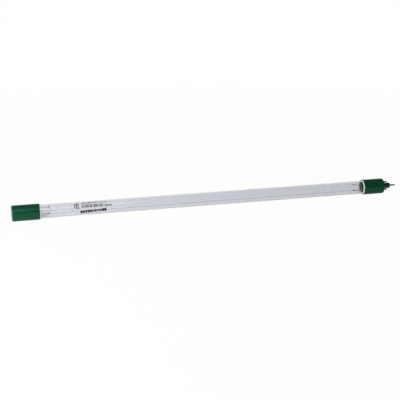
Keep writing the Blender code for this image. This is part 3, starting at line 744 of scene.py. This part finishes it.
def base_rows():
    """Rows of the base from the middle of the nose's tip, over the nose, the shoulder and the body to the
    mouth, and back inside to the floor of the nose. Each row is an x and a distance from the axis at each
    angle: shares of the way between two outlines on flat faces, and a quarter circle at each edge."""
    angle = all_round(192)
    floor = SHOULDER_FACE - BASE_FLOOR
    pocket = NOSE_FACE - NOSE_TIP_WALL
    flat_radius = CAP_RADIUS - BASE_EDGE_RADIUS
    tip = obround_reach(angle, NOSE_RADIUS - NOSE_EDGE_ROUNDING)
    rows = [(NOSE_FACE, tip * share) for share in np.linspace(0, 1, 5)]
    for turn in np.radians(np.linspace(15, 90, 6)):
        x = NOSE_FACE - NOSE_EDGE_ROUNDING * (1 - math.cos(turn))
        rows.append((x, obround_reach(angle, NOSE_RADIUS - NOSE_EDGE_ROUNDING * (1 - math.sin(turn)))))
    for turn in np.radians(np.linspace(0, 90, 6)):
        x = SHOULDER_FACE + NOSE_ROOT_FILLET * (1 - math.sin(turn))
        rows.append((x, obround_reach(angle, NOSE_RADIUS + NOSE_ROOT_FILLET * (1 - math.cos(turn)))))
    root = np.minimum(obround_reach(angle, NOSE_RADIUS + NOSE_ROOT_FILLET), flat_radius)
    rows += [(SHOULDER_FACE, root + (flat_radius - root) * share) for share in np.linspace(0.25, 1, 4)]
    rows += list(arc((SHOULDER_FACE - BASE_EDGE_RADIUS, flat_radius), BASE_EDGE_RADIUS, 8, 90, 12))
    rim = (BASE_MOUTH + MOUTH_ROUNDING, CAP_RADIUS - MOUTH_ROUNDING)
    rows += list(arc(rim, MOUTH_ROUNDING, 90, 180, 5))
    hollow = obround_reach(angle, NOSE_RADIUS - NOSE_WALL)
    rows += [(BASE_MOUTH, CAP_INNER), (floor, CAP_INNER), (floor, hollow), (pocket, hollow), (pocket, 0)]
    x = np.array([row[0] for row in rows])[:, None]
    reach = np.stack([np.broadcast_to(row[1], angle.shape) for row in rows])
    return lamp_points(x, reach * np.cos(angle), reach * np.sin(angle))


def cut_holes(made, centres, x_low, x_high):
    """Cuts a round hole for a pin along X at each centre, and leaves no cutter behind."""
    cutters = []
    profile = profile_of((x_low, 0), (x_low, PIN_HOLE_RADIUS), (x_high, PIN_HOLE_RADIUS), (x_high, 0))
    for centre in centres:
        points, quads, triangles = skin(turned(profile, centre, 48))
        mesh = bpy.data.meshes.new("hole")
        mesh.from_pydata(points, [], [list(face) for face in quads] + [list(face) for face in triangles])
        cutters.append(bpy.data.objects.new("hole", mesh))
        bpy.context.scene.collection.objects.link(cutters[-1])
        modifier = made.modifiers.new("hole", "BOOLEAN")
        modifier.object = cutters[-1]
    graph = bpy.context.evaluated_depsgraph_get()
    cut = bpy.data.meshes.new_from_object(made.evaluated_get(graph))
    made.modifiers.clear()
    made.data = cut
    cut.set_sharp_from_angle(angle=math.radians(SHARP_ANGLE))
    for cutter in cutters:
        bpy.data.objects.remove(cutter)


class LAMP_OT_base_shell(bpy.types.Operator):
    """Builds the green base: body, rounded shoulder and obround nose, with a hole for each pin"""

    bl_idname = "lamp.base_shell"
    bl_label = "Pinned base"

    def execute(self, context):
        resin = material_from(moulded_resin, context.scene.lamp_finish)
        made = piece("base_moulding", [skin(base_rows())], resin, "base_shell")
        for kind, inner, outer in (
            ("long", NOSE_FACE - NOSE_TIP_WALL, NOSE_FACE),
            ("short", SHOULDER_FACE - BASE_FLOOR, SHOULDER_FACE),
        ):
            centres = [place[1:] for node, place in PIN_PLACES.items() if kind in node]
            cut_holes(made, centres, inner - MM, outer + MM)
        return {"FINISHED"}


class LAMP_OT_contact_pins(bpy.types.Operator):
    """Builds the two long and two short contact pins with their points, collars and wire bores"""

    bl_idname = "lamp.contact_pins"
    bl_label = "Contact pins"

    def execute(self, context):
        metal = material_from(dulled_nickel, context.scene.lamp_finish)
        share = np.linspace(0, 1, 12)
        narrowed = PIN_RADIUS * np.sqrt(1 - POINT_FALL * share**POINT_POWER)
        for node, place in PIN_PLACES.items():
            tail, tip = (corner[0] for corner in corners(node))
            pin = LONG_PIN if "long" in node else SHORT_PIN
            inner_face = tail + pin["tail"]
            profile = profile_of(
                (inner_face + pin["wall"] / 2, 0),
                (inner_face + pin["wall"] / 2, pin["bore"]),
                (tail, pin["bore"]),
                (tail, PIN_RADIUS),
                (inner_face - PIN_COLLAR[1], PIN_RADIUS),
                (inner_face - PIN_COLLAR[1], PIN_COLLAR_RADIUS),
                (inner_face - PIN_COLLAR[0], PIN_COLLAR_RADIUS),
                (inner_face - PIN_COLLAR[0], PIN_RADIUS),
                side_by_side(tip - pin["point"] * (1 - share), narrowed),
                (tip, 0),
            )
            piece(f"{node}_metal", [skin(turned(profile, place[1:], 48))], metal, node)
        return {"FINISHED"}


class LAMP_OT_seal_rings(bpy.types.Operator):
    """Builds the basing cement in each cap's mouth and the white bead round the quartz in front of it"""

    bl_idname = "lamp.seal_rings"
    bl_label = "Cement and beads"

    def execute(self, context):
        finish = context.scene.lamp_finish
        cement = material_from(basing_cement, finish)
        silicone = material_from(sealing_silicone, finish)
        columns = 192
        angle = all_round(columns)
        uneven = 1 + BEAD_UNEVENNESS * (np.sin(3 * angle + 1.0) + np.sin(7 * angle + 0.4) * 2 / 3)
        turn = np.radians(np.linspace(0, 90, 12))
        for end, mouth, inwards in (("blind", BLIND_MOUTH, -1), ("base", BASE_MOUTH, 1)):
            back = mouth + inwards * CEMENT_DEPTH
            ring = ((mouth, CEMENT_INNER), (mouth, CEMENT_OUTER), (back, CEMENT_OUTER), (back, CEMENT_INNER))
            skins = [skin(turned(ring, columns=columns), ring=True)]
            piece(f"{end}_cement_ring", skins, cement, f"{end}_cement")
            foot = mouth - inwards * BEAD_GAP
            swell = side_by_side(
                foot - inwards * BEAD_LENGTH * np.sin(turn), CEMENT_INNER + finish.bead_height * np.cos(turn)
            )
            ring = profile_of((foot, CEMENT_INNER), swell)
            skins = [skin(turned(ring, columns=columns, ripple=uneven), ring=True)]
            piece(f"{end}_bead_ring", skins, silicone, f"{end}_seal_bead")
        return {"FINISHED"}


def electrode(end):
    """Where the hooks of an end start along X, how far they have risen along Z, and the way from the cap to
    the middle of the lamp."""
    if end == "blind":
        return BLIND_HOOK, BLIND_ELECTRODE_RISE, 1
    return BASE_HOOK, BASE_ELECTRODE_RISE, -1


def lead_path(end, z):
    """A lead from its foil to the hook, then HOOK_TURN round a circle about Z. It rises evenly on its way
    through the round part of the tube."""
    x_hook, rise, inwards = electrode(end)
    foil = corners(f"{end}_upper_foil")[1 if inwards > 0 else 0][0]
    free = (BLIND_MOUTH if inwards > 0 else BASE_MOUTH) - inwards * TUBE_INSERT
    straight = np.concatenate([np.linspace(foil, free, 6)[:-1], np.linspace(free, x_hook, 12)[:-1]])
    risen = rise * np.clip((straight - free) / (x_hook - free), 0, 1)
    angle = np.linspace(0, HOOK_TURN, 28)
    hook_x = x_hook + inwards * HOOK_RADIUS * np.sin(angle)
    hook_y = HOOK_RADIUS * (1 - np.cos(angle))
    return profile_of(side_by_side(straight, 0.0, z + risen), side_by_side(hook_x, hook_y, z + rise))


def filament_path(end):
    """The filament and the direction from its strand's middle. A strand winds COIL_TURNS times about a line
    along Z that bows by the square of a cosine, and the wire winds STRAND_TURNS times about the strand in
    each of its turns. Straight tails lie in the hooks."""
    x_hook, rise, inwards = electrode(end)
    at_lead = LEAD_OFFSET - LEAD_RADIUS - STRAND_RADIUS
    tail_end = LEAD_OFFSET + LEAD_RADIUS + COIL_TAIL
    steps = COIL_TURNS * STRAND_TURNS * STRAND_STEPS
    share = np.linspace(0, 1, steps)
    tail = np.linspace(tail_end, COIL_HALF_LENGTH, steps // COIL_TO_TAIL_STEPS)[:-1]
    z = np.concatenate([-tail, COIL_HALF_LENGTH * (2 * share - 1), tail[::-1]])
    wound = np.concatenate([np.zeros(len(tail)), share, np.ones(len(tail))])
    grown = np.clip(np.minimum(wound, 1 - wound) * COIL_TURNS, 0, 1)
    bow = COIL_BOW * np.cos(np.pi * np.clip(z / at_lead, -1, 1) / 2) ** 2
    turn = 2 * np.pi * COIL_TURNS * wound
    out = side_by_side(np.cos(turn), np.sin(turn), 0.0)
    middle = side_by_side(x_hook + inwards * bow, HOOK_RADIUS, z + rise)
    strand = middle + out * (COIL_RADIUS * smooth_step(grown))[:, None]
    across, beside = square_to(unit(np.gradient(strand, axis=0)), out)
    travelled = np.concatenate([[0], np.cumsum(np.linalg.norm(np.diff(strand, axis=0), axis=-1))])
    spin = STRAND_TURNS * travelled / COIL_RADIUS
    away = across * np.cos(spin)[:, None] + beside * np.sin(spin)[:, None]
    return strand + away * (STRAND_RADIUS - FILAMENT_WIRE_RADIUS), away


class LAMP_OT_electrodes(bpy.types.Operator):
    """Builds the four stiff leads with their hooks and the two coiled filaments, and finishes the foils"""

    bl_idname = "lamp.electrodes"
    bl_label = "Electrodes"

    def execute(self, context):
        finish = context.scene.lamp_finish
        wire = material_from(plated_wire, finish)
        foil = material_from(molybdenum_foil, finish)
        tungsten = material_from(coated_tungsten, finish)
        for end in ("blind", "base"):
            for side, z in (("upper", LEAD_OFFSET), ("lower", -LEAD_OFFSET)):
                rows = swept(lead_path(end, z), LEAD_RADIUS, (0, 0, 1), 20)
                node = f"{end}_{side}_lead"
                piece(f"{node}_wire", [skin(rows)], wire, node)
                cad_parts[f"{end}_{side}_foil"].data.materials[0] = foil
            path, away = filament_path(end)
            rows = swept(path, FILAMENT_WIRE_RADIUS, away, 6)
            node = f"{end}_filament"
            piece(f"{node}_coil", [skin(rows)], tungsten, node, sharp=180)
        return {"FINISHED"}


def beside_tube(x, angle):
    """Places along a return wire on the near side of the quartz, below the middle of the lead plane."""
    return side_by_side(x, -RETURN_WIRE_REACH * np.cos(angle), -RETURN_WIRE_REACH * np.sin(angle))


def gentle_bend(start, end):
    """Points of an S from one place to another: even along X, eased across."""
    share = np.linspace(0, 1, 24)[:, None]
    points = start + (end - start) * smooth_step(share)
    points[:, 0] = start[0] + (end[0] - start[0]) * share[:, 0]
    return points


def loop_back(start, end):
    """Points of half an ellipse that leaves a place towards -X and comes back beside it."""
    angle = np.linspace(0, np.pi, 32)
    points = start + (end - start) * ((1 - np.cos(angle)) / 2)[:, None]
    points[:, 0] -= WIRE_LOOP_DEPTH * np.sin(angle)
    return points


def lamp_place(node, x):
    """A place on a pin's middle line in lamp coordinates, the turn of lamp_points taken back."""
    y, z = PIN_PLACES[node][1:] - (0, AXIS_HEIGHT)
    cos, sin = math.cos(LEAN), math.sin(LEAN)
    return np.array([x, y * cos - z * sin, y * sin + z * cos])


class LAMP_OT_outer_wires(bpy.types.Operator):
    """Builds the two bare return wires along the quartz, and finishes the short wires in the base"""

    bl_idname = "lamp.outer_wires"
    bl_label = "Return wires"

    def execute(self, context):
        wire = material_from(plated_wire, context.scene.lamp_finish)
        seal_end = BLIND_MOUTH - TUBE_INSERT - SHOULDER_TAPER - PINCH_LENGTH
        base_pinch = BASE_MOUTH + TUBE_INSERT + SHOULDER_TAPER
        for label, angle, side, leave in (
            ("near", NEAR_WIRE_ANGLE, 1, base_pinch),
            ("far", FAR_WIRE_ANGLE, -1, base_pinch + PINCH_LENGTH - SEAL_HOLE_DEPTH),
        ):
            lead = np.array([seal_end, 0, side * LEAD_OFFSET])
            beside = beside_tube(seal_end, angle)
            along = np.linspace(seal_end, leave, 120)[1:-1]
            span = (along - along[0]) / (along[-1] - along[0])
            waves = np.sin(np.pi * span) * np.sin(2 * np.pi * RETURN_WIRE_WAVES * span + side)
            pin = f"{label}_long_pin"
            path = profile_of(
                lead + [SEAL_HOLE_DEPTH, 0, 0],
                loop_back(lead, beside),
                beside_tube(along, angle + RETURN_WIRE_WANDER * waves),
                gentle_bend(beside_tube(leave, angle), lamp_place(pin, SHOULDER_FACE)),
                lamp_place(pin, NOSE_FACE - NOSE_TIP_WALL),
            )
            reference = unit(np.cross([1, 0, 0], beside - lead))
            rows = swept(path, RETURN_WIRE_RADIUS, reference, 12)
            node = f"{label}_return_wire"
            piece(f"{node}_bare", [skin(rows)], wire, node)
        for node in ("upper_base_wire", "lower_base_wire"):
            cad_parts[node].data.materials[0] = wire
        return {"FINISHED"}


def bar_rows(x_low, x_high, angle, height):
    """A thin patch of ink on the quartz: a flat rectangle, INK_THICKNESS deep, carried round the tube."""
    half_turn = height / TUBE_RADIUS / 2
    turn = np.linspace(angle - half_turn, angle + half_turn, 5)[:, None]
    inner = TUBE_RADIUS + INK_LIFT
    x = np.array([x_low, x_high, x_high, x_low])
    reach = np.array([inner, inner, inner + INK_THICKNESS, inner + INK_THICKNESS])
    return ended(side_by_side(x, -reach * np.cos(turn), AXIS_HEIGHT + reach * np.sin(turn)))


class LAMP_OT_printed_bars(bpy.types.Operator):
    """Prints rows of plain dark bars round the quartz near the closed cap"""

    bl_idname = "lamp.printed_bars"
    bl_label = "Printed bars"

    def execute(self, context):
        chance = np.random.default_rng(BARS_SEED)
        skins = []
        for row in (BLOCK_ROW, UPPER_ROW, MIDDLE_ROW, END_ROW, BOLD_ROW):
            count = int(round(row.length / row.pitch))
            edges = CLOSED_FACE + (row.start + row.pitch * np.arange(count)) * MM
            inked = np.clip(row.inked + chance.normal(0, INKED_SPREAD, count), LEAST_INKED, MOST_INKED)
            heights = row.height * MM * np.where(chance.random(count) < SHORT_BARS, SHORT_BAR_HEIGHT, 1.0)
            angles = np.radians(np.linspace(row.angle, row.angle + row.climb, count))
            for x, width, tall, angle in zip(edges, row.pitch * MM * inked, heights, angles):
                skins.append(skin(bar_rows(x, x + width, angle, tall)))
        piece("printed_bars", skins, material_from(fired_ink, context.scene.lamp_finish))
        return {"FINISHED"}


def placed(name, data, place, back):
    """A light or the camera at a place, its back turned towards a direction."""
    made = bpy.data.objects.new(name, data)
    bpy.context.scene.collection.objects.link(made)
    made.location = place
    made.rotation_euler = back.to_track_quat("Z", "Y").to_euler()
    return made


class LAMP_OT_stage(bpy.types.Operator):
    """Sets out the pale floor, the soft light and the camera at the photograph's angle"""

    bl_idname = "lamp.stage"
    bl_label = "Stage"

    def execute(self, context):
        scene = context.scene
        stage = scene.lamp_stage
        scene.view_settings.view_transform = "Standard"
        mesh = bpy.data.meshes.new("floor")
        square = [(x * FLOOR_HALF, y * FLOOR_HALF, 0) for x, y in ((-1, -1), (1, -1), (1, 1), (-1, 1))]
        mesh.from_pydata(square, [], [(0, 1, 2, 3)])
        mesh.materials.append(material_from(paper_sweep, stage))
        floor = bpy.data.objects.new("floor", mesh)
        scene.collection.objects.link(floor)
        scene.world = studio_room(stage)
        powers = (stage.key_power, stage.fill_power, stage.side_power)
        for light, power in zip((KEY_LIGHT, FILL_LIGHT, SIDE_LIGHT), powers):
            data = bpy.data.lights.new(light.name, "AREA")
            data.shape = "RECTANGLE"
            data.size, data.size_y = light.size
            data.energy = power
            placed(light.name, data, light.place, Vector(light.place) - Vector(light.target))
        away = math.cos(CAMERA_ELEVATION)
        back = Vector(
            (math.sin(CAMERA_AZIMUTH) * away, -math.cos(CAMERA_AZIMUTH) * away, math.sin(CAMERA_ELEVATION))
        )
        data = bpy.data.cameras.new("camera")
        data.sensor_width = SENSOR_WIDTH
        data.lens = SENSOR_WIDTH * FOCAL_PIXELS / FRAME_WIDTH
        data.clip_start = 0.01
        scene.camera = placed("camera", data, Vector(CAMERA_TARGET) + back * CAMERA_DISTANCE, back)
        return {"FINISHED"}


class LAMP_PT_panel(bpy.types.Panel):
    """Lists the lamp's settings and the steps that build it"""

    bl_label = "Germicidal lamp"
    bl_idname = "LAMP_PT_panel"
    bl_space_type = "VIEW_3D"
    bl_region_type = "UI"
    bl_category = "Lamp"

    def draw(self, context):
        layout = self.layout
        for settings in (context.scene.lamp_finish, context.scene.lamp_stage):
            column = layout.column()
            for name in settings.bl_rna.properties.keys():
                if name not in {"rna_type", "name"}:
                    column.prop(settings, name)
        for step in STEPS:
            layout.operator(step.bl_idname)


STEPS = (
    LAMP_OT_stage,
    LAMP_OT_quartz_tube,
    LAMP_OT_blind_cap,
    LAMP_OT_base_shell,
    LAMP_OT_contact_pins,
    LAMP_OT_seal_rings,
    LAMP_OT_electrodes,
    LAMP_OT_outer_wires,
    LAMP_OT_printed_bars,
)
CLASSES = (LampFinish, LampStage, *STEPS, LAMP_PT_panel)


def register():
    for item in CLASSES:
        bpy.utils.register_class(item)
    bpy.types.Scene.lamp_finish = PointerProperty(type=LampFinish)
    bpy.types.Scene.lamp_stage = PointerProperty(type=LampStage)


def unregister():
    del bpy.types.Scene.lamp_stage
    del bpy.types.Scene.lamp_finish
    for item in reversed(CLASSES):
        bpy.utils.unregister_class(item)


def main():
    register()
    for step in STEPS:
        group, name = step.bl_idname.split(".")
        getattr(getattr(bpy.ops, group), name)()


if __name__ == "__main__":
    main()
